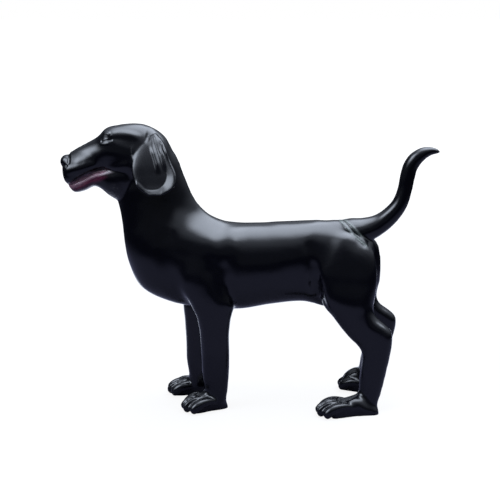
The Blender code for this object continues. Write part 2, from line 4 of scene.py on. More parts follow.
import bmesh
import bpy
import numpy as np
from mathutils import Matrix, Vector


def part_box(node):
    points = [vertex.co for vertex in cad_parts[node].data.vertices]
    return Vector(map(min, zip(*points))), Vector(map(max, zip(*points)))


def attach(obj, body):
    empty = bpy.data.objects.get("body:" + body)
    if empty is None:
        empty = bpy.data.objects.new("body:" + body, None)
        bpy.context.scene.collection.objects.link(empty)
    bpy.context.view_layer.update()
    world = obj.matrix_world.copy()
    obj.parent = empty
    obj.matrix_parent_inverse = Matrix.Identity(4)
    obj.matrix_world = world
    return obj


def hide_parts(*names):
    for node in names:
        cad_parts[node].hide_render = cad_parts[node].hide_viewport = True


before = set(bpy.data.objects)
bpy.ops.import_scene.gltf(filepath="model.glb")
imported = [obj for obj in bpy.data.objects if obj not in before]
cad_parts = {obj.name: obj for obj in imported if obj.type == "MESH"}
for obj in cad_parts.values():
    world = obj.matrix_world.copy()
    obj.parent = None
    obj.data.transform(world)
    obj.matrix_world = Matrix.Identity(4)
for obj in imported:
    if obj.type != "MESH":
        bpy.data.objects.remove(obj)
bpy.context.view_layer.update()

# Trunk and neck
# The whole dog is one hollow shell of glass fibre and resin, laid up in a mould.  Its form
# starts here as masses of muscle, in hundredths of the dog's height from soles to crown.
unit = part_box("dog")[1][2] / 100
LEFT = -1
RIGHT = 1

# Rungs run from nose to rump or from top to toe.  Each gives the two ends of a slice
# seen from the side (first end x, z; second end x, z), the distance of its middle from
# the centre plane, half its width, where it is widest (0 second end, 1 first end) and
# how square its two halves are (2 is an ellipse).
TRUNK = [
    (-29.8, 94.8, -44.5, 80.0, 0.0, 5.6, 0.50, 2.2, 2.2),
    (-25.4, 89.5, -45.8, 75.6, 0.0, 7.0, 0.50, 2.2, 2.2),
    (-22.2, 81.5, -44.8, 70.7, 0.0, 7.8, 0.46, 1.9, 2.2),
    (-19.0, 74.2, -44.0, 65.5, 0.0, 8.6, 0.42, 1.6, 2.2),
    (-14.6, 69.2, -43.4, 59.0, 0.0, 9.8, 0.40, 1.5, 2.3),
    (-9.0, 66.4, -42.0, 51.5, 0.0, 10.9, 0.42, 1.7, 2.3),
    (-3.5, 65.5, -38.1, 43.2, 0.0, 11.5, 0.44, 2.1, 2.2),
    (1.0, 65.5, -29.8, 38.4, 0.0, 11.6, 0.46, 2.1, 2.2),
    (5.5, 65.6, -18.0, 35.5, 0.0, 11.5, 0.49, 2.1, 2.2),
    (10.0, 65.9, -4.0, 35.0, 0.0, 11.4, 0.50, 2.1, 2.2),
    (15.0, 66.1, 7.5, 36.8, 0.0, 11.0, 0.50, 2.1, 2.2),
    (21.0, 66.4, 18.5, 37.7, 0.0, 9.7, 0.52, 2.1, 2.2),
    (27.5, 66.7, 27.0, 35.9, 0.0, 8.8, 0.52, 1.7, 2.2),
    (33.0, 66.3, 35.5, 38.0, 0.0, 8.6, 0.52, 1.7, 2.2),
    (39.0, 63.6, 41.0, 44.0, 0.0, 6.6, 0.60, 2.2, 2.2),
    (43.1, 59.5, 43.5, 51.0, 0.0, 3.4, 0.60, 2.0, 2.0),
]
# Points round a slice, and slices from one rung to the next
SLICE_POINTS = 40
SPANS = 6


def through(knots, spans):
    """Rows read from the smooth curve that passes through the knots."""
    rows = np.array(knots, float)
    rows = np.vstack([2 * rows[0] - rows[1], rows, 2 * rows[-1] - rows[-2]])
    found = []
    for before, start, end, after in zip(rows, rows[1:], rows[2:], rows[3:]):
        for t in np.arange(spans) / spans:
            found.append(
                0.5 * (2 * start + (end - before) * t
                       + (2 * before - 5 * start + 4 * end - after) * t ** 2
                       + (3 * start - before - 3 * end + after) * t ** 3)
            )
    found.append(rows[-2])
    return np.array(found)


def loft(rings):
    """A closed mesh object through rings that have as many points each."""
    count, sides = rings.shape[:2]
    work = bmesh.new()
    grid = [[work.verts.new(point * unit) for point in ring] for ring in rings]
    for row in range(count - 1):
        for k in range(sides):
            n = (k + 1) % sides
            work.faces.new((grid[row][k], grid[row][n], grid[row + 1][n], grid[row + 1][k]))
    work.faces.new(reversed(grid[0]))
    work.faces.new(grid[-1])
    bmesh.ops.recalc_face_normals(work, faces=work.faces)
    mesh = bpy.data.meshes.new("mass")
    work.to_mesh(mesh)
    work.free()
    solid = bpy.data.objects.new("mass", mesh)
    bpy.context.scene.collection.objects.link(solid)
    return solid


def slice_ring(rung, side):
    """One slice of a body mass: two half super-ellipses set end to end."""
    first_x, first_z, second_x, second_z, centre, half, widest, top_power, low_power = rung
    turn = 2 * math.pi * np.arange(SLICE_POINTS) / SLICE_POINTS
    power = np.where(np.sin(turn) > 0, top_power, low_power)
    reach = np.where(np.sin(turn) > 0, 1 - widest, widest)
    across = half * np.sign(np.cos(turn)) * np.abs(np.cos(turn)) ** (2 / power)
    along = widest + reach * np.sign(np.sin(turn)) * np.abs(np.sin(turn)) ** (2 / power)
    ring = np.empty((SLICE_POINTS, 3))
    ring[:, 0] = second_x + (first_x - second_x) * along
    ring[:, 1] = side * centre + across
    ring[:, 2] = second_z + (first_z - second_z) * along
    return ring


def mass(rungs, side=RIGHT):
    """A body mass lofted through its rungs."""
    return loft(np.array([slice_ring(rung, side) for rung in through(rungs, SPANS)]))


torso = [mass(TRUNK)]

# Skull
# The head is cast with the body: a long muzzle with a marked stop, a broad flat brow
# and a domed crown that runs straight down into the neck.
SKULL = [
    (-63.8, 87.8, -64.0, 84.6, 0.0, 2.0, 0.50, 2.0, 2.2),
    (-62.4, 89.5, -63.7, 81.4, 0.0, 3.7, 0.38, 1.8, 2.4),
    (-60.1, 91.1, -62.0, 79.2, 0.0, 4.7, 0.36, 1.7, 2.6),
    (-57.3, 92.6, -58.6, 80.8, 0.0, 5.1, 0.36, 1.65, 2.5),
    (-54.3, 94.2, -54.4, 82.4, 0.0, 5.2, 0.36, 1.75, 2.4),
    (-51.4, 95.9, -50.6, 83.7, 0.0, 5.4, 0.42, 2.1, 2.2),
    (-48.8, 98.5, -47.4, 83.0, 0.0, 6.3, 0.50, 2.4, 2.2),
    (-44.6, 99.6, -44.0, 80.0, 0.0, 7.0, 0.50, 2.1, 2.2),
    (-38.6, 100.15, -39.0, 77.0, 0.0, 7.4, 0.46, 2.0, 2.2),
    (-33.4, 98.9, -34.0, 77.0, 0.0, 7.2, 0.46, 2.0, 2.2),
    (-28.9, 95.5, -30.0, 80.0, 0.0, 6.2, 0.50, 2.2, 2.2),
    (-26.4, 90.8, -27.6, 84.0, 0.0, 4.0, 0.50, 2.0, 2.0),
]
torso.append(mass(SKULL))

# Legs
# Four plain, sturdy legs, moulded with the body.  The right foreleg stands ahead of the
# left one, and the right hind leg behind it, so each right leg steps away on its way down.
RIGHT_FORELEG_STEP = -6.2
RIGHT_THIGH_STEP = 2.8
RIGHT_HOCK_STEP = 0.9
RIGHT_HEEL_STEP = -1.9
# The heights between which each step grows from none to all
FORELEG_STEP_SPAN = (44, 32)
THIGH_STEP_SPAN = (72, 60)
HOCK_STEP_SPAN = (38, 28)
HEEL_STEP_SPAN = (27, 8)
FORELEG = [
    (-22.5, 65.0, -12.0, 64.0, 4.6, 2.0, 0.50, 2.0, 2.0),
    (-26.0, 57.5, -9.5, 57.0, 7.3, 3.6, 0.50, 2.0, 2.0),
    (-26.5, 50.0, -7.6, 49.0, 8.2, 4.3, 0.50, 2.1, 2.1),
    (-24.2, 44.0, -6.0, 43.0, 8.6, 4.2, 0.50, 2.3, 2.3),
    (-20.8, 39.2, -5.0, 38.6, 8.8, 4.0, 0.50, 2.4, 2.4),
    (-18.4, 34.5, -6.2, 34.5, 8.6, 3.8, 0.50, 2.4, 2.4),
    (-17.3, 28.5, -7.0, 28.5, 8.4, 3.6, 0.50, 2.3, 2.3),
    (-16.8, 20.0, -7.0, 20.0, 8.1, 3.5, 0.50, 2.3, 2.3),
    (-16.6, 13.0, -7.2, 13.0, 7.5, 3.4, 0.50, 2.3, 2.3),
    (-15.8, 8.0, -7.7, 7.6, 7.0, 3.3, 0.50, 2.3, 2.3),
    (-15.4, 2.5, -8.3, 2.5, 6.8, 3.3, 0.50, 2.3, 2.3),
]
HINDLEG = [
    (27.5, 63.4, 38.5, 61.4, 4.3, 2.7, 0.50, 2.0, 2.0),
    (23.6, 57.0, 42.6, 56.8, 5.8, 4.1, 0.50, 2.0, 2.0),
    (22.3, 50.5, 43.9, 50.0, 6.6, 5.0, 0.50, 2.1, 2.1),
    (23.2, 44.0, 43.8, 43.6, 7.1, 5.2, 0.50, 2.2, 2.2),
    (25.0, 38.8, 43.1, 39.6, 7.7, 4.9, 0.50, 2.2, 2.2),
    (28.3, 34.8, 42.8, 36.8, 8.2, 4.4, 0.50, 2.3, 2.3),
    (31.2, 30.9, 43.8, 33.9, 8.7, 4.0, 0.50, 2.3, 3.0),
    (34.4, 27.0, 46.6, 31.5, 9.1, 3.8, 0.50, 2.3, 3.4),
    (37.6, 23.8, 49.2, 28.6, 9.4, 3.6, 0.50, 2.3, 3.4),
    (39.1, 20.6, 49.1, 23.0, 9.7, 3.4, 0.50, 2.3, 3.0),
    (38.5, 14.5, 47.7, 15.0, 9.9, 3.3, 0.50, 2.3, 2.3),
    (38.2, 8.0, 46.2, 8.0, 10.0, 3.3, 0.50, 2.3, 2.3),
    (38.0, 2.5, 44.6, 2.5, 10.1, 3.5, 0.50, 2.3, 2.3),
]


def stepped(rungs, step, span):
    """A leg's rungs moved along by a step that grows down the heights of the span."""
    start, end = span
    moved = []
    for first_x, first_z, second_x, second_z, *rest in rungs:
        share = min(max((start - (first_z + second_z) / 2) / (start - end), 0.0), 1.0)
        shift = step * share * share * (3 - 2 * share)
        moved.append((first_x + shift, first_z, second_x + shift, second_z, *rest))
    return moved


right_foreleg = stepped(FORELEG, RIGHT_FORELEG_STEP, FORELEG_STEP_SPAN)
right_hindleg = stepped(HINDLEG, RIGHT_THIGH_STEP, THIGH_STEP_SPAN)
right_hindleg = stepped(right_hindleg, RIGHT_HOCK_STEP, HOCK_STEP_SPAN)
right_hindleg = stepped(right_hindleg, RIGHT_HEEL_STEP, HEEL_STEP_SPAN)
torso += [mass(FORELEG, LEFT), mass(right_foreleg, RIGHT)]
torso += [mass(HINDLEG, LEFT), mass(right_hindleg, RIGHT)]

# Lower jaw, nose and eyes
# The jaw hangs a little open under the muzzle.  The nose pad and the eyes are modelled
# into the same casting; nothing on the face is a loose piece.
JAW = [
    (-61.9, 79.4, -61.6, 77.8, 0.0, 1.7, 0.50, 2.2, 2.0),
    (-60.5, 80.4, -59.8, 76.4, 0.0, 3.3, 0.50, 2.0, 2.0),
    (-57.2, 82.0, -56.4, 77.1, 0.0, 4.3, 0.50, 2.0, 2.0),
    (-54.0, 83.7, -53.3, 78.5, 0.0, 4.8, 0.55, 2.0, 2.0),
    (-50.6, 84.9, -51.0, 77.7, 0.0, 5.0, 0.60, 2.2, 2.0),
    (-47.4, 86.0, -48.6, 75.6, 0.0, 5.5, 0.60, 2.3, 2.0),
    (-43.6, 88.0, -45.7, 73.7, 0.0, 6.5, 0.60, 2.2, 2.0),
    (-38.6, 90.0, -42.6, 71.6, 0.0, 6.4, 0.60, 2.2, 2.0),
    (-34.0, 90.0, -39.0, 73.0, 0.0, 5.2, 0.60, 2.2, 2.0),
]
NOSE = (-62.5, 0.0, 87.0)
NOSE_RADII = (2.3, 2.8, 2.4)
EYE = (-48.3, 95.0)
EYE_DISTANCE = 4.75
EYE_RADII = (0.7, 0.45, 0.42)
BALL_SEGMENTS = 48
BALL_RINGS = 32


def ball(centre, radii):
    """An ellipsoid, in hundredths."""
    bpy.ops.mesh.primitive_uv_sphere_add(segments=BALL_SEGMENTS, ring_count=BALL_RINGS, radius=unit)
    solid = bpy.context.active_object
    solid.location = [value * unit for value in centre]
    solid.scale = radii
    return solid


solids = [mass(JAW), ball(NOSE, NOSE_RADII)]
solids += [ball((EYE[0], side * EYE_DISTANCE, EYE[1]), EYE_RADII) for side in (LEFT, RIGHT)]

# Ears
# Two hanging ears, thick enough to cast.  Each grows out of the skull, lies along the
# cheek and the side of the neck, and stands a little off it at the tip.
EAR = [
    (-35.4, 96.2, -31.6, 97.0, 3.3, 1.2, 0.50, 2.2, 1.9),
    (-37.8, 93.5, -29.3, 94.6, 5.0, 1.4, 0.50, 2.8, 2.0),
    (-39.0, 90.4, -27.7, 91.6, 6.3, 1.5, 0.50, 3.4, 2.1),
    (-39.5, 86.8, -26.2, 88.0, 7.4, 1.5, 0.50, 3.8, 2.6),
    (-39.1, 83.4, -24.5, 84.2, 8.1, 1.5, 0.50, 3.8, 3.2),
    (-37.9, 80.8, -24.7, 81.0, 8.6, 1.5, 0.50, 3.6, 3.4),
    (-36.0, 79.0, -26.4, 79.0, 9.0, 1.5, 0.50, 3.2, 3.2),
    (-33.6, 77.6, -29.2, 77.6, 9.3, 1.2, 0.50, 2.8, 2.8),
]
solids += [mass(EAR, side) for side in (LEFT, RIGHT)]
ear_rungs = sorted(((first + second) / 2, middle) for _, first, _, second, middle, *_ in EAR)
ear_heights, ear_middles = zip(*ear_rungs)

# Tail
# The tail was laid up in a mould of its own, set on the rump and glassed over.  It rises
# in one S-shaped sweep to a point that leans back.
TAIL = [
    (31.0, 61.4, 4.9),
    (36.0, 62.0, 5.2),
    (40.8, 63.2, 4.3),
    (45.3, 65.3, 3.5),
    (49.1, 68.5, 3.05),
    (51.9, 72.3, 2.7),
    (53.4, 76.8, 2.5),
    (54.2, 81.2, 2.55),
    (55.1, 85.0, 2.55),
    (56.9, 87.9, 2.45),
    (59.6, 89.9, 2.0),
    (62.4, 90.6, 1.3),
    (65.0, 90.3, 0.55),
]
BAR_POINTS = 24


def tube(stations):
    """A round bar through stations of x, y, z, half width and half height."""
    rows = through(stations, SPANS)
    middle = rows[:, :3]
    ahead = np.gradient(middle, axis=0)
    ahead /= np.linalg.norm(ahead, axis=1)[:, None]
    across = np.cross(ahead, (0.0, 0.0, 1.0))
    across /= np.linalg.norm(across, axis=1)[:, None]
    above = np.cross(across, ahead)
    turn = 2 * math.pi * np.arange(BAR_POINTS) / BAR_POINTS
    rings = (middle[:, None, :]
             + across[:, None, :] * (rows[:, 3, None] * np.cos(turn))[:, :, None]
             + above[:, None, :] * (rows[:, 4, None] * np.sin(turn))[:, :, None])
    return loft(rings)


solids.append(tube([(x, 0.0, z, radius, radius) for x, z, radius in TAIL]))

# Paws
# Flat-soled paws with four toes and short nails each, heels down.  The left hind paw
# points almost straight ahead; the right one turns out.
FOREPAW = [
    (0.0, 1.2, 1.1),
    (0.8, 2.4, 2.1),
    (3.2, 3.8, 2.9),
    (6.6, 6.2, 3.2),
    (9.0, 6.2, 3.7),
    (11.4, 5.0, 4.0),
    (13.2, 3.5, 3.7),
]
HINDPAW = [
    (0.0, 1.2, 2.1),
    (0.9, 2.6, 3.1),
    (4.2, 4.0, 3.4),
    (7.8, 6.6, 3.4),
    (11.0, 5.7, 3.8),
    (14.6, 5.1, 4.4),
    (17.2, 3.8, 4.3),
]
TURNED_PAW = [
    (0.0, 1.2, 2.0),
    (0.9, 3.0, 2.9),
    (3.0, 5.6, 3.4),
    (5.4, 8.2, 3.7),
    (7.8, 8.6, 4.0),
    (10.0, 7.8, 4.2),
    (12.0, 6.4, 4.2),
    (13.2, 4.6, 3.8),
]
FORE_HEEL = -8.0
HIND_HEEL = 44.9
RIGHT_FORE_HEEL = FORE_HEEL + RIGHT_FORELEG_STEP
RIGHT_HIND_HEEL = HIND_HEEL + RIGHT_THIGH_STEP + RIGHT_HOCK_STEP + RIGHT_HEEL_STEP
# Each paw: its shape, the x of its heel and its distance from the centre plane, its side,
# its length and the degrees that its toes turn out
PAWS = [
    (FOREPAW, (FORE_HEEL, 5.1), LEFT, 16.3, 20.0),
    (FOREPAW, (RIGHT_FORE_HEEL, 8.5), RIGHT, 15.6, 2.0),
    (HINDPAW, (HIND_HEEL, 10.8), LEFT, 21.8, 9.5),
    (TURNED_PAW, (RIGHT_HIND_HEEL, 8.4), RIGHT, 15.0, 31.0),
]
PAW_POINTS = 32
PAW_SQUARENESS = 0.8
PAW_ROOT = -1.5
# A toe and its nail, back from the paw's tip: distance, height of its middle and radius
TOE = [
    (9.6, 3.5, 1.2),
    (7.2, 3.8, 1.5),
    (4.6, 3.7, 1.7),
    (2.4, 2.8, 1.75),
    (0.9, 1.6, 1.6),
    (0.1, 1.1, 1.1),
]
NAIL = [
    (1.6, 2.3, 0.60),
    (0.6, 1.8, 0.50),
    (0.0, 1.2, 0.36),
    (-0.3, 0.7, 0.20),
]
# The four toes: place across the paw, and how far each falls short of the paw's tip
TOES = [(-3.9, 1.7), (-1.4, 0.1), (1.4, 0.0), (3.9, 1.7)]
TOE_FLATNESS = 0.92
# The toes draw together towards the heel, by this share for each hundredth past the start
TOE_GATHER = 0.05
TOE_GATHER_START = 3


def to_paw(place, turn, side, rows):
    """Rows of forward, across and up, turned out by an angle and set at a heel."""
    rows = np.array(rows, float)
    ahead = np.array((-math.cos(turn), side * math.sin(turn), 0.0))
    out = np.array((math.sin(turn), side * math.cos(turn), 0.0))
    moved = rows[..., 0, None] * ahead + rows[..., 1, None] * out
    moved[..., 2] += rows[..., 2]
    return moved + np.array((place[0], side * place[1], 0.0))


def paw_body(shape, place, turn, side):
    """The body of a paw, square-shouldered, with its root under the floor."""
    round_it = 2 * math.pi * np.arange(PAW_POINTS) / PAW_POINTS
    rings = []
    for ahead, top, half in through(shape, SPANS):
        across = half * np.sign(np.cos(round_it)) * np.abs(np.cos(round_it)) ** PAW_SQUARENESS
        rise = np.sign(np.sin(round_it)) * np.abs(np.sin(round_it)) ** PAW_SQUARENESS
        up = (top + PAW_ROOT) / 2 + (top - PAW_ROOT) / 2 * rise
        rings.append(np.stack([np.full(PAW_POINTS, ahead), across, up], axis=1))
    return loft(to_paw(place, turn, side, np.array(rings)))


def gathered(back):
    """The share of its place across that a toe keeps, so far back from its tip."""
    return 1 - TOE_GATHER * max(back - TOE_GATHER_START, 0)


def toes(place, turn, side, length):
    """Four toes with their nails."""
    made = []
    for across, short in TOES:
        for stations in (TOE, NAIL):
            path = np.array([
                (length - short - back, across * gathered(back), high, radius * TOE_FLATNESS, radius)
                for back, high, radius in stations
            ])
            made.append(tube(np.column_stack([to_paw(place, turn, side, path[:, :3]), path[:, 3:]])))
    return made


for shape, place, side, length, degrees in PAWS:
    turn = math.radians(degrees)
    torso.append(paw_body(shape, place, turn, side))
    solids += toes(place, turn, side, length)

# One skin
# The mould took all of this as one surface, gloss coat first and glass fibre behind it.
# The trunk and legs were rubbed down furthest; eyes, nose, lips and ears stayed crisp.
TORSO_GRAIN = 0.0070
GRAIN = 0.0064
CRISP_GRAIN = 0.0021
PULL = 0.50
PUSH = -0.52
TORSO_RUBS = 60
CRISP_RUBS = 8
SKIN_RUBS = 4
WRAP_RUBS = 3
FACE_RUBS = 16
LINE_SPANS = 5
# The two axes of each view on which lines are drawn
SIDE_VIEW = (0, 2)
FRONT_VIEW = (1, 2)
PLAN_VIEW = (0, 1)
TAIL_SEAM = [(31.2, 67.6), (34.0, 65.4), (36.3, 62.5), (38.4, 60.2), (40.0, 58.2)]
MOUTH_LINE = [(-62.2, 78.7), (-59.6, 79.6), (-57.6, 80.8), (-54.9, 82.3), (-52.0, 83.3),
              (-49.4, 83.9), (-46.8, 84.1)]
# Where the crisp parts end on the side view: the head above its throat line, the paws,
# the belt round the tail seam and the tip of the tail
HEAD_BACK = -25.0
THROAT = (-50.0, 74.0)
THROAT_SLOPE = -0.4
PAW_TOP = 9.0
SEAM_BELT = 3.0
TAIL_TIP = (58.0, 84.0)
# The finest work: the ears' outer faces, the eyes, the lips and the muzzle's front
EAR_FACE_FRONT = -37.0
EAR_FACE_BACK = -23.5
EAR_FACE_BOTTOM = 76.0
EYE_REACH = 3.6
EYE_INNER = 3.0
LIP_REACH = 2.3
MUZZLE_FRONT = -60.5


def baked(solid):
    """The object with its modifiers worked into its mesh."""
    graph = bpy.context.evaluated_depsgraph_get()
    mesh = bpy.data.meshes.new_from_object(solid.evaluated_get(graph))
    solid.modifiers.clear()
    solid.data = mesh
    return solid


def joined(solids):
    """The solids as one object, still crossing each other."""
    work = bmesh.new()
    bpy.context.view_layer.update()
    for solid in solids:
        copy = solid.data.copy()
        copy.transform(solid.matrix_world)
        work.from_mesh(copy)
        bpy.data.meshes.remove(copy)
        bpy.data.objects.remove(solid, do_unlink=True)
    mesh = bpy.data.meshes.new("clay")
    work.to_mesh(mesh)
    work.free()
    clay = bpy.data.objects.new("clay", mesh)
    bpy.context.scene.collection.objects.link(clay)
    return clay


def skin_of(clay, grain):
    """One skin round the crossing solids, with square faces of the grain's size."""
    skin = bpy.data.objects.new("skin", clay.data)
    bpy.context.scene.collection.objects.link(skin)
    remesh = skin.modifiers.new("skin", "REMESH")
    remesh.mode = "VOXEL"
    remesh.voxel_size = grain
    return baked(skin)


def get_points(mesh):
    """The mesh's points, one row each."""
    points = np.empty(len(mesh.vertices) * 3)
    mesh.vertices.foreach_get("co", points)
    return points.reshape(-1, 3)


def get_normals(mesh):
    """The mesh's directions at its points, one row each."""
    normals = np.empty(len(mesh.vertices) * 3)
    mesh.vertices.foreach_get("normal", normals)
    return normals.reshape(-1, 3)


def set_points(mesh, points):
    """Put the mesh's points where the rows say."""
    mesh.vertices.foreach_set("co", points.ravel())
    mesh.update()


def relax(mesh, rounds, share=None, pulls=(PULL, PUSH)):
    """Rub a skin smooth; a pull and a push in each round keep it from shrinking."""
    edges = np.empty(len(mesh.edges) * 2, int)
    mesh.edges.foreach_get("vertices", edges)
    one, two = edges.reshape(-1, 2).T
    points = get_points(mesh)
    total = len(points)
    links = np.bincount(one, minlength=total) + np.bincount(two, minlength=total)
    weight = 1.0 if share is None else share[:, None]
    for _ in range(rounds):
        for pull in pulls:
            drift = np.empty_like(points)
            for axis in range(3):
                flat = points[:, axis]
                drift[:, axis] = (np.bincount(one, flat[two], total)
                                  + np.bincount(two, flat[one], total)) / links - flat
            points = points + drift * pull * weight
    set_points(mesh, points)


torso_clay = joined(torso)
torso_skin = skin_of(torso_clay, TORSO_GRAIN)
bpy.data.objects.remove(torso_clay, do_unlink=True)
relax(torso_skin.data, TORSO_RUBS)
finer = torso_skin.modifiers.new("finer", "SUBSURF")
finer.levels = 2
finer.render_levels = 2
solids.append(baked(torso_skin))


def beside(points, line, axes=SIDE_VIEW, reach=math.inf):
    """How far the points are from a line of knots drawn on a view, and from its nearer end."""
    rows = through(line, LINE_SPANS)
    flat = points[:, axes] / unit
    gap = np.full(len(points), np.inf)
    to_end = np.zeros(len(points))
    lowest = rows.min(axis=0) - reach
    highest = rows.max(axis=0) + reach
    near = np.flatnonzero(((flat > lowest) & (flat < highest)).all(axis=1))
    flat = flat[near]
    nearest = np.full(len(near), np.inf)
    passed = np.zeros(len(near))
    length = 0.0
    for start, end in zip(rows, rows[1:]):
        along = end - start
        span = np.linalg.norm(along)
        share = np.clip((flat - start) @ along / max(span * span, 1e-9), 0.0, 1.0)
        away = np.linalg.norm(flat - start - share[:, None] * along, axis=1)
        closer = away < nearest
        nearest[closer] = away[closer]
        passed[closer] = length + span * share[closer]
        length += span
    gap[near] = nearest
    to_end[near] = np.minimum(passed, length - passed)
    return gap, to_end


def away_from(points, line):
    """How far the points are from a line of knots drawn on the side view."""
    return beside(points, line)[0]


def on_crisp_parts(points):
    """Head, paws, tail seam and tail tip."""
    x, _, z = points.T / unit
    head = (x < HEAD_BACK) & (z > THROAT[1] + THROAT_SLOPE * (x - THROAT[0]))
    seam = away_from(points, TAIL_SEAM) < SEAM_BELT
    tip = (x > TAIL_TIP[0]) & (z > TAIL_TIP[1])
    return head | (z < PAW_TOP) | seam | tip


def on_face(points):
    """Eyes, nose, lips and the outer face of the ears."""
    x, y, z = points.T / unit
    ears = (x > EAR_FACE_FRONT) & (x < EAR_FACE_BACK) & (z > EAR_FACE_BOTTOM)
    ears &= np.abs(y) > np.interp(z, ear_heights, ear_middles)
    eyes = (np.hypot(x - EYE[0], z - EYE[1]) < EYE_REACH) & (np.abs(y) > EYE_INNER)
    return ears | eyes | (away_from(points, MOUTH_LINE) < LIP_REACH) | (x < MUZZLE_FRONT)


def refined(mesh, chosen):
    """The mesh with the grain halved where chosen says so."""
    work = bmesh.new()
    work.from_mesh(mesh)
    work.faces.ensure_lookup_table()
    centres = np.array([face.calc_center_median() for face in work.faces])
    picked = [work.faces[row] for row in np.flatnonzero(chosen(centres))]
    edges = list(dict.fromkeys(edge for face in picked for edge in face.edges))
    bmesh.ops.subdivide_edges(work, edges=edges, cuts=1, use_grid_fill=True)
    work.to_mesh(mesh)
    work.free()


clay = joined(solids)
crisp = skin_of(clay, CRISP_GRAIN)
relax(crisp.data, CRISP_RUBS)
dog = skin_of(clay, GRAIN)
dog.name = "dog_statue"
bpy.data.objects.remove(clay, do_unlink=True)
relax(dog.data, SKIN_RUBS)
refined(dog.data, on_crisp_parts)
refined(dog.data, on_face)
wrap = dog.modifiers.new("wrap", "SHRINKWRAP")
wrap.target = crisp
wrap.wrap_method = "NEAREST_SURFACEPOINT"
dog = baked(dog)
bpy.data.objects.remove(crisp, do_unlink=True)
relax(dog.data, WRAP_RUBS)
skin = dog.data
finest = on_face(get_points(skin)).astype(float)
relax(skin, FACE_RUBS, finest)

# Muscle
# The sculptor's broad modelling: temple, shoulder, upper arm, flank, hip, thigh and hock.
# Each stroke is a line drawn on the side view, its half width and its height on the skin.
MUSCLE = {
    "temple": ([(-49.6, 96.6), (-45.0, 97.0), (-40.0, 96.7), (-35.6, 95.4)], 1.7, 0.35),
    "ear root": ([(-33.4, 100.6), (-33.8, 97.0), (-34.6, 93.0)], 1.6, -0.40),
    "cheekbone": ([(-54.4, 90.0), (-48.4, 90.6), (-42.6, 91.2)], 2.4, 0.16),
    "mouth corner": ([(-50.6, 84.6), (-47.4, 85.1), (-43.0, 86.2), (-39.0, 87.4)], 2.2, 0.32),
    "shoulder": ([(-29.0, 66.0), (-21.0, 63.6), (-12.0, 60.6), (-2.0, 58.0)], 8.0, 0.90),
    "behind shoulder": ([(-10.8, 68.0), (-9.4, 62.0), (-8.2, 56.0), (-8.2, 52.0)], 4.2, -0.40),
    "behind elbow": (
        [(-8.4, 56.0), (-8.3, 50.5), (-7.2, 46.1), (-5.6, 41.0), (-5.0, 37.0)], 2.6, -0.50),
    "before upper arm": ([(-15.4, 54.0), (-12.6, 47.6), (-10.4, 43.4), (-8.0, 39.0)], 2.8, -0.25),
    "upper arm": ([(-11.8, 53.0), (-9.8, 46.6), (-7.4, 40.0)], 2.6, 0.15),
    "chest side": (
        [(-27.0, 66.0), (-29.0, 57.0), (-27.2, 48.0), (-23.6, 41.4), (-20.0, 36.0)], 4.0, -0.50),
    "forearm": ([(-15.0, 38.0), (-14.0, 28.0), (-13.4, 18.0)], 2.6, 0.18),
    "wrist": ([(-15.6, 14.0), (-15.2, 10.0), (-14.8, 7.0)], 2.2, 0.30),
    "hip": ([(24.0, 64.0), (30.0, 62.2), (37.0, 58.9)], 6.0, 0.35),
    "thigh": ([(24.0, 40.0), (31.0, 39.0), (39.0, 38.0), (43.0, 38.0)], 9.0, 0.50),
    "flank": (
        [(20.6, 62.0), (21.0, 58.5), (21.7, 53.5), (22.6, 44.4), (24.0, 39.0), (25.4, 36.0)],
        3.0, -1.00),
    "knee": ([(23.0, 47.0), (24.8, 40.8), (27.4, 36.2), (31.0, 32.0)], 1.8, -0.40),
    "before hock": ([(36.8, 39.0), (38.6, 33.6), (39.6, 29.6), (41.4, 25.0)], 2.6, -0.20),
    "heel cord": ([(45.4, 34.0), (47.2, 27.0), (46.6, 20.0), (45.4, 12.0)], 1.8, 0.15),
    "before heel cord": ([(43.4, 31.0), (43.9, 22.0), (43.0, 13.0)], 1.6, -0.14),
}
SOFT_END = 4.0
# The crease before the hip, rubbed flat again by pulls alone
HIP_CREASE = [(28.5, 64.5), (25.8, 60.8), (24.2, 57.4)]
HIP_REACH = 5.0
HIP_RUBS = 50
HIP_RUB_FULL = 1.2
HIP_RUB_FADE = 4.5
MUSCLE_RUBS = 6


def facing_out(points, normals):
    """One where the skin faces away from the centre plane, fading to none."""
    outward = np.clip(2.0 * normals[:, 1] * np.sign(points[:, 1]), 0.0, 1.0)
    return outward * outward * (3 - 2 * outward)


def all_round(points, normals):
    """One everywhere."""
    return np.ones(len(points))


def carve(line, half_width, height, where=facing_out, axes=SIDE_VIEW, end=0.0):
    """Raise or sink the skin along a line that is drawn on a view, gently at soft ends."""
    points = get_points(skin)
    normals = get_normals(skin)
    gap, to_end = beside(points, line, axes, half_width)
    share = np.clip(1 - (gap / half_width) ** 2, 0.0, 1.0) ** 2 * where(points, normals)
    if end:
        fade = np.clip(to_end / end, 0.0, 1.0)
        share *= fade * fade * (3 - 2 * fade)
    set_points(skin, points + normals * (share * height * unit)[:, None])


for stroke in MUSCLE.values():
    carve(*stroke, end=SOFT_END)
hip_gap = beside(get_points(skin), HIP_CREASE, reach=HIP_REACH)[0]
relax(skin, HIP_RUBS, np.clip(HIP_RUB_FULL - hip_gap / HIP_RUB_FADE, 0.0, 1.0), (PULL,))
relax(skin, MUSCLE_RUBS)

# Face
# Lids round the eyes, a brow over each, nostrils, a groove behind the nose, the rolled
# upper lip and its cleft, the whisker pads and the band of gum along the mouth.


def moved(line, up, first=0, last=None):
    """Part of a line, moved up."""
    return [(x, z + up) for x, z in line[first:last]]


def at_muzzle_front(points, normals):
    """One on the front of the muzzle, fading to none behind it."""
    return np.clip((MUZZLE_FRONT * unit - points[:, 0]) / unit, 0.0, 1.0)


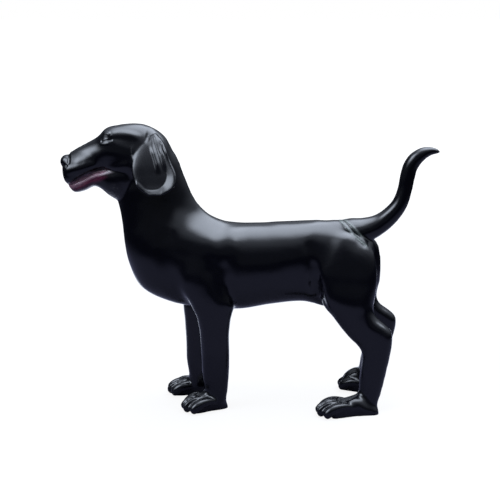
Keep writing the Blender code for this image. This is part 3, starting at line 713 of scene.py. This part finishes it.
FACE = {
    "eye socket": ([(-49.7, 95.4), (-48.2, 95.8), (-46.6, 95.6)], 1.0, -0.16),
    "eye slot": ([(-49.8, 94.5), (-48.2, 94.9), (-46.4, 95.1)], 0.50, -0.18),
    "lower lid": ([(-50.1, 93.7), (-48.8, 93.7), (-47.4, 93.9)], 0.60, 0.08),
    "brow": ([(-49.4, 97.2), (-48.4, 97.4), (-47.4, 97.2)], 0.80, 0.25),
    "upper lip": ([(-61.4, 84.6), (-57.4, 84.8), (-53.4, 86.2)], 2.2, 0.35),
    "hollow behind eye": ([(-44.0, 95.6), (-40.6, 94.4)], 2.6, -0.20),
    "nostril": ([(-63.6, 86.1), (-62.8, 86.4), (-62.1, 86.1)], 0.60, -0.30),
    "whisker pad": ([(-57.4, 86.4), (-56.0, 86.4)], 4.6, 0.60),
}
GROOVES = {
    "behind nose": ([(-62.0, 90.2), (-61.5, 88.8), (-61.5, 87.2)], 0.9, -0.26),
    "over gum": (moved(MOUTH_LINE, 1.5, 1, -1), 0.6, -0.30),
    "gum": (moved(MOUTH_LINE, 0.2, 0, -2), 1.1, 0.20),
    "under gum": (moved(MOUTH_LINE, -1.5, 1, -2), 0.7, -0.20),
}
LIP_CLEFT = ([(0.0, 87.4), (0.0, 84.0), (0.0, 80.6)], 0.5, -0.40)
for stroke in FACE.values():
    carve(*stroke)
for stroke in GROOVES.values():
    carve(*stroke, all_round)
carve(*LIP_CLEFT, at_muzzle_front, FRONT_VIEW)

# Ear relief
# Folds run down the rear half of each ear from the crown; the lower edge rolls outward
# in a lip round a shallow dish.
EAR_EDGE = [(-38.2, 80.2), (-36.2, 77.6), (-33.0, 76.2), (-29.4, 76.0), (-26.4, 77.4), (-24.4, 80.0),
            (-23.5, 83.2), (-23.8, 86.2), (-24.9, 89.2), (-26.2, 91.6)]
EAR_FRONT = -39.8
EAR_BACK = -23.0
EAR_BOTTOM = 75.5
EAR_CORE = 0.4
EAR_HINGE = 94.0
EAR_HINGE_EASE = 4.0
EAR_TILT = 0.25
EAR_LIP_WIDTHS = ((-37.0, -33.0, -29.0), (2.0, 3.1, 4.1))
EAR_LIP_SLOPE = 0.55
EAR_LIP_REACH = 5.0
EAR_FOLD_END = 4.0
EAR_RUBS = 3
EAR_FOLDS = {
    "front fold": (
        [(-32.9, 94.6), (-32.2, 92.1), (-31.3, 89.7), (-30.6, 87.0), (-30.2, 84.0)], 1.4, 0.60),
    "middle fold": (
        [(-33.0, 98.4), (-31.6, 96.2), (-30.8, 93.6), (-29.8, 90.5), (-28.5, 86.8), (-27.7, 84.6)],
        0.9, 0.35),
    "rear fold": (
        [(-30.2, 97.6), (-29.2, 95.1), (-28.5, 93.1), (-27.4, 91.1), (-26.5, 89.0)], 1.3, 0.50),
    "dip at the crown": ([(-34.3, 98.6), (-34.3, 96.0), (-34.8, 93.0)], 1.0, -0.35),
    "front valley": (
        [(-33.0, 97.6), (-32.2, 95.6), (-31.5, 92.8), (-30.8, 90.1), (-30.0, 87.2)], 0.8, -0.20),
    "rear valley": ([(-31.2, 97.0), (-30.2, 93.8), (-29.2, 91.1), (-28.2, 88.0)], 0.8, -0.18),
}


def press_ears(share, height):
    """Move the ears' outer faces outward by a share of a height."""
    points = get_points(skin)
    middle = np.interp(points[:, 2] / unit, ear_heights, ear_middles)
    outer = np.clip((np.abs(points[:, 1]) / unit - middle + EAR_CORE) / EAR_CORE, 0.0, 1.0)
    points[:, 1] += np.sign(points[:, 1]) * outer * share * height * unit
    set_points(skin, points)


points = get_points(skin)
x, _, z = points.T / unit
on_flaps = (x > EAR_FRONT) & (x < EAR_BACK) & (z > EAR_BOTTOM)
below_hinge = np.clip(EAR_HINGE - z, 0.0, EAR_HINGE)
press_ears(on_flaps * below_hinge ** 2 / (below_hinge + EAR_HINGE_EASE), EAR_TILT)
lip_width = np.interp(x, *EAR_LIP_WIDTHS)
edge_gap = beside(points, EAR_EDGE, reach=EAR_LIP_REACH)[0]
press_ears(np.clip(lip_width - edge_gap, 0.0, EAR_LIP_REACH), EAR_LIP_SLOPE)
for line, half_width, height in EAR_FOLDS.values():
    gap, to_end = beside(points, line, reach=half_width)
    share = np.clip(1 - (gap / half_width) ** 2, 0.0, 1.0) ** 2
    fade = np.clip(to_end / EAR_FOLD_END, 0.0, 1.0)
    press_ears(share * fade * fade * (3 - 2 * fade), height)
relax(skin, EAR_RUBS, finest)

# Toes and tail seam
# Valleys part the toes and run back over each paw.  Where the tail was bonded on, two
# low beads of filler with a groove between them cross the rump.
# A valley's knots: how far ahead of the paw's tip, and the share of its place across
VALLEY = [(0.6, 1.0), (-3.0, 1.0), (-8.0, 0.8)]
VALLEY_HALF_WIDTH = 0.8
VALLEY_HEIGHT = -0.40
VALLEY_TOP = 6.5
VALLEY_FADE = 1.5
FRONT_BEAD = [(29.6, 67.8), (32.5, 65.5), (35.6, 62.4), (38.2, 60.2), (39.8, 58.9)]
BACK_BEAD = [(31.9, 67.4), (34.6, 65.5), (37.0, 63.2), (38.6, 61.6)]
SEAM_STROKES = [(TAIL_SEAM, 1.0, -0.15), (FRONT_BEAD, 0.5, 0.18), (BACK_BEAD, 0.45, 0.18)]
SEAM_END = 1.5
LAST_RUBS = 2


def on_paws(points, normals):
    """One low on the paws, fading to none above them."""
    return np.clip((VALLEY_TOP - points[:, 2] / unit) / VALLEY_FADE, 0.0, 1.0)


for _, place, side, length, degrees in PAWS:
    for (inner, _), (outer, _) in zip(TOES, TOES[1:]):
        across = (inner + outer) / 2
        rows = [(length + ahead, keep * across, 0.0) for ahead, keep in VALLEY]
        valley = to_paw(place, math.radians(degrees), side, rows)[:, :2]
        carve(valley, VALLEY_HALF_WIDTH, VALLEY_HEIGHT, on_paws, PLAN_VIEW)
for stroke in SEAM_STROKES:
    carve(*stroke, end=SEAM_END)
relax(skin, LAST_RUBS)

# Flat soles, and the casting set in the place that the frame holds for it
lowest, highest = (np.array(corner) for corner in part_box("dog"))
points = get_points(skin)
points[:, 2] = np.maximum(points[:, 2], 0.0)
reach = points.max(axis=0) - points.min(axis=0)
points = lowest + (points - points.min(axis=0)) * (highest - lowest) / reach
set_points(skin, points)
skin.shade_smooth()

# Finish
# Black gelcoat, buffed to a gloss, with the faint orange peel and slow waves of hand
# work.  The gums are brushed in mauve and maroon, and grey filler shows at the tail seam.
BLACK = (0.0003, 0.0004, 0.0017, 1.0)
HAZE = (0.0016, 0.0016, 0.0034, 1.0)
MAUVE = (0.235, 0.125, 0.158, 1.0)
MAROON = (0.065, 0.010, 0.027, 1.0)
FILLER = (0.080, 0.096, 0.085, 1.0)
# Roughness of the gloss coat, and what haze, filler, gum paint and jaw paint add to it
GLOSS_ROUGHNESS = 0.17
HAZE_ROUGHNESS = 0.06
FILLER_ROUGHNESS = 0.22
GUM_ROUGHNESS = 0.16
JAW_ROUGHNESS = 0.10
# Heights of the surface's own relief, in metres
PEEL_HEIGHT = 0.00004
WAVE_HEIGHT = 0.0012
STUBBLE_HEIGHT = 0.0014
FILLER_HEIGHT = 0.0005
GUM_WIDTHS = [(-62.0, 1.0), (-57.6, 1.1), (-54.9, 0.95), (-52.0, 0.8), (-49.4, 0.6), (-46.8, 0.3)]
JAW_PAINT_LINE = [(-61.2, 76.2), (-59.6, 76.7), (-57.7, 77.6), (-54.9, 79.8), (-52.0, 81.4),
                  (-48.6, 82.6)]
JAW_PAINT_WIDTHS = [(-61.2, 1.9), (-57.7, 1.7), (-54.9, 1.5), (-52.0, 1.1), (-48.6, 0.5)]
PAINT_EDGE = 0.80
PAINT_FADE = 4.0
GUM_END = -46.0
JAW_PAINT_END = -47.6
BEAD_HALF_WIDTH = 0.45
BEAD_COVER = 1.15
SMEAR_REACH = 1.2
SMEAR_SHARE = 0.2
STUBBLE = (-46.6, 77.4)
STUBBLE_REACH = (3.6, 3.2)
STUBBLE_COVER = 1.2


class Field:
    """A shader socket on which arithmetic can be written."""

    def __init__(self, tree, socket=None):
        self.tree = tree
        self.socket = socket

    def node(self, kind, settings, sockets, output=0):
        """A node of a kind: its settings first, then the values or links of its sockets."""
        made = self.tree.nodes.new("ShaderNode" + kind)
        for name, value in settings.items():
            setattr(made, name, value)
        for name, value in sockets.items():
            if isinstance(value, Field):
                self.tree.links.new(value.socket, made.inputs[name])
            else:
                made.inputs[name].default_value = value
        return Field(self.tree, made.outputs[output])

    def math(self, operation, first, second):
        """One Math node on two values or sockets."""
        return self.node("Math", {"operation": operation}, {0: first, 1: second})

    def __add__(self, other):
        return self.math("ADD", self, other)

    def __sub__(self, other):
        return self.math("SUBTRACT", self, other)

    def __rsub__(self, other):
        return self.math("SUBTRACT", other, self)

    def __mul__(self, other):
        return self.math("MULTIPLY", self, other)

    __radd__ = __add__
    __rmul__ = __mul__

    def between(self, low, high):
        """Nought at low, one at high and smooth in between."""
        return self.node("MapRange", {"interpolation_type": "SMOOTHSTEP"},
                         {"Value": self, "From Min": low, "From Max": high})

    def blend(self, start, end):
        """The colour start where this is nought, end where it is one."""
        return self.node("Mix", {"data_type": "RGBA"}, {0: self, 6: start, 7: end}, 2)


def paint_layer(name, share):
    """A paint mask kept on the skin's points."""
    layer = skin.attributes.new(name, "FLOAT", "POINT")
    layer.data.foreach_set("value", np.clip(share, 0.0, 1.0))


def brushed(line, widths, end):
    """A stroke of the brush along a line, as wide as widths say, that fades before its end."""
    reach = np.interp(flat_x, *zip(*widths))
    fade = np.clip((end - flat_x) / PAINT_FADE, 0.0, 1.0)
    return ((reach - away_from(points, line)) / PAINT_EDGE + 0.5) * fade


points = get_points(skin)
flat_x = points[:, 0] / unit
flat_z = points[:, 2] / unit
paint_layer("gum", brushed(MOUTH_LINE, GUM_WIDTHS, GUM_END))
paint_layer("recess", brushed(JAW_PAINT_LINE, JAW_PAINT_WIDTHS, JAW_PAINT_END))
bead_gap = np.minimum(away_from(points, FRONT_BEAD), away_from(points, BACK_BEAD))
smear = SMEAR_SHARE * np.clip(SMEAR_REACH - away_from(points, TAIL_SEAM), 0.0, 1.0)
paint_layer("filler", BEAD_COVER - bead_gap / BEAD_HALF_WIDTH + smear)
stubble_x = (flat_x - STUBBLE[0]) / STUBBLE_REACH[0]
stubble_z = (flat_z - STUBBLE[1]) / STUBBLE_REACH[1]
paint_layer("stubble", STUBBLE_COVER - np.hypot(stubble_x, stubble_z))

gelcoat = bpy.data.materials.new("black_gelcoat")
gelcoat.use_nodes = True
shader = gelcoat.node_tree.nodes["Principled BSDF"]
coat = Field(gelcoat.node_tree)
place = coat.node("TexCoord", {}, {}, "Object")
gum, recess, filler, stubble = (
    coat.node("Attribute", {"attribute_name": name}, {}, "Fac")
    for name in ("gum", "recess", "filler", "stubble")
)
cloudy = coat.node("TexNoise", {}, {"Vector": place, "Scale": 9.0, "Detail": 4.0, "Roughness": 0.6})
streaky = coat.node("TexNoise", {}, {"Vector": place, "Scale": 160.0, "Detail": 3.0, "Roughness": 0.65})
colour = (cloudy.between(0.45, 0.75) * streaky).blend(BLACK, HAZE)
colour = (filler * streaky.between(0.25, 0.60) * 0.8).blend(colour, FILLER)
colour = recess.blend(colour, MAROON)
colour = (gum * (0.75 + 0.25 * streaky.between(0.35, 0.60))).blend(colour, MAUVE)
rough = (GLOSS_ROUGHNESS + HAZE_ROUGHNESS * cloudy.between(0.40, 0.80) + FILLER_ROUGHNESS * filler
         + GUM_ROUGHNESS * gum + JAW_ROUGHNESS * recess)
peel = coat.node("TexNoise", {}, {"Vector": place, "Scale": 210.0, "Detail": 1.0})
waves = coat.node("TexNoise", {}, {"Vector": place, "Scale": 14.0, "Detail": 1.0})
hairs = coat.node("TexWave", {"bands_direction": "DIAGONAL"},
                  {"Vector": place, "Scale": 130.0, "Distortion": 6.0, "Detail": 3.0, "Detail Scale": 1.5})
relief = (PEEL_HEIGHT * peel + WAVE_HEIGHT * waves + STUBBLE_HEIGHT * stubble * hairs
          + FILLER_HEIGHT * filler * streaky)
bump = coat.node("Bump", {}, {"Height": relief, "Strength": 1.0, "Distance": 1.0})
gelcoat.node_tree.links.new(colour.socket, shader.inputs["Base Color"])
gelcoat.node_tree.links.new(rough.socket, shader.inputs["Roughness"])
gelcoat.node_tree.links.new(bump.socket, shader.inputs["Normal"])
skin.materials.clear()
skin.materials.append(gelcoat)
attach(dog, "root")
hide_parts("dog")

# Floor
# A wide, plain white floor that runs out of sight.  What the gloss picks up of it is
# painted greyer: a painted pool of light round the dog, with a painted paler strip of light
# behind it, that fades into painted dark standing for a darker room.
FLOOR_REACH = 60.0
# Painted light on the floor, seen only in reflections: a painted pool of light near the dog and painted
# dark far from it
PAINTED_ROOM_DARK = (0.008, 0.008, 0.010, 1.0)
PAINTED_LIGHT_POOL = (0.088, 0.085, 0.120, 1.0)
# A painted strip of light behind the dog, seen only in reflections
PAINTED_LIGHT_STRIP = (0.45, 0.45, 0.47, 1.0)
NEAR_WHITE = (0.88, 0.88, 0.88, 1.0)
WHITE = (1.0, 1.0, 1.0, 1.0)
SHADED = (0.06, 0.06, 0.06, 1.0)
# Where each of them begins and is whole, in metres from the middle of the dog
POOL_EDGE = (2.3, 1.0)
STRIP_FRONT = (0.30, 0.60)
STRIP_BACK = (2.0, 1.4)
STRIP_SIDES_SQUARED = (0.80, 0.35)
WHITE_EDGE = (1.0, 5.0)
bpy.ops.mesh.primitive_plane_add(size=2 * FLOOR_REACH)
floor = bpy.context.active_object
floor.name = "studio_floor"
paper = bpy.data.materials.new("white_floor")
paper.use_nodes = True
paper_shader = paper.node_tree.nodes["Principled BSDF"]
sheet = Field(paper.node_tree)
on_floor = sheet.node("TexCoord", {}, {}, "Object")
out_from_dog = sheet.node("VectorMath", {"operation": "LENGTH"}, {0: on_floor}, "Value")
# The floor's colour for reflections: a painted pool of light round the dog, fading out to painted dark
painted_pool = out_from_dog.between(*POOL_EDGE).blend(PAINTED_ROOM_DARK, PAINTED_LIGHT_POOL)
along = sheet.node("SeparateXYZ", {}, {0: on_floor}, "X")
behind = sheet.node("SeparateXYZ", {}, {0: on_floor}, "Y")
# A painted strip of light behind the dog, for the gloss to pick up
painted_strip = behind.between(*STRIP_FRONT) * behind.between(*STRIP_BACK)
painted_strip = painted_strip * (along * along).between(*STRIP_SIDES_SQUARED)
painted_pool = painted_strip.blend(painted_pool, PAINTED_LIGHT_STRIP)
paper.node_tree.links.new(painted_pool.socket, paper_shader.inputs["Base Color"])
paper_shader.inputs["Roughness"].default_value = 0.9
paper_shader.inputs["Specular IOR Level"].default_value = 0.0
glow = out_from_dog.between(*WHITE_EDGE).blend(NEAR_WHITE, WHITE)
seen_paper = sheet.node("Emission", {}, {"Color": glow})
soft_paper = sheet.node("BsdfDiffuse", {}, {"Color": SHADED})
lit_paper = sheet.node("AddShader", {}, {0: seen_paper, 1: soft_paper})
# Reflections see the floor with its painted pool and strip of light; the camera sees it glowing plain
# white
looked_at = sheet.node("LightPath", {}, {}, "Is Camera Ray")
painted_light_paper = Field(paper.node_tree, paper_shader.outputs[0])
whole = sheet.node("MixShader", {}, {0: looked_at, 1: painted_light_paper, 2: lit_paper})
paper.node_tree.links.new(whole.socket, paper.node_tree.nodes["Material Output"].inputs["Surface"])
floor.data.materials.append(paper)

# Light
# One wide, soft glow from a white ceiling, a little to the right of the dog and behind
# it, and a weaker one from high on the left.  Nothing shines level with the dog.
CEILING_WAY = (0.27, 0.14, 1.0)
LEFT_WAY = (-0.64, -0.35, 0.68)
COOL_WHITE = (0.78, 0.86, 1.0, 1.0)
ROOM_GLOW = 0.10
# Each glow's strength, and the nearness to its middle at which it begins and is whole
CEILING_GLOW = (7.8, 0.71, 0.985)
CEILING_HAZE = (0.9, 0.25, 0.85)
LEFT_GLOW = (3.4, 0.84, 1.0)
LEFT_CORE = (6.0, 0.94, 1.0)
world = bpy.data.worlds.new("studio")
bpy.context.scene.world = world
world.use_nodes = True
sky = Field(world.node_tree)
way = sky.node("TexCoord", {}, {}, "Generated")


def towards(direction):
    """One where the sky lies in a direction, less all round it."""
    middle = Vector(direction).normalized()
    return sky.node("VectorMath", {"operation": "DOT_PRODUCT"}, {0: way, 1: middle}, "Value")


def round_glow(nearness, strength, begins, whole):
    """A soft round light in the sky."""
    return strength * nearness.between(begins, whole)


ceiling = towards(CEILING_WAY)
left = towards(LEFT_WAY)
room = (ROOM_GLOW + round_glow(ceiling, *CEILING_GLOW) + round_glow(ceiling, *CEILING_HAZE)
        + round_glow(left, *LEFT_GLOW) + round_glow(left, *LEFT_CORE))
seen = sky.node("LightPath", {}, {}, "Is Camera Ray")
background = world.node_tree.nodes["Background"]
tint = seen.blend(COOL_WHITE, WHITE)
world.node_tree.links.new(tint.socket, background.inputs["Color"])
world.node_tree.links.new((seen + (1 - seen) * room).socket, background.inputs["Strength"])

# Camera
# A little higher than the dog's head and turned down on it, from three metres away.
CAMERA_AWAY = 3.0
CAMERA_HEIGHT = 1.13
CAMERA_TILT = 0.2240
FOCAL_PIXELS = 1100.5
PHOTO_WIDTH = 500
SENSOR = 36.0
lens = bpy.data.cameras.new("camera")
lens.sensor_width = SENSOR
lens.lens = FOCAL_PIXELS / PHOTO_WIDTH * SENSOR
camera = bpy.data.objects.new("camera", lens)
bpy.context.scene.collection.objects.link(camera)
camera.location = (0.0, -CAMERA_AWAY, CAMERA_HEIGHT)
camera.rotation_euler = (math.pi / 2 - CAMERA_TILT, 0.0, 0.0)
bpy.context.scene.camera = camera
bpy.context.scene.view_settings.view_transform = "Standard"
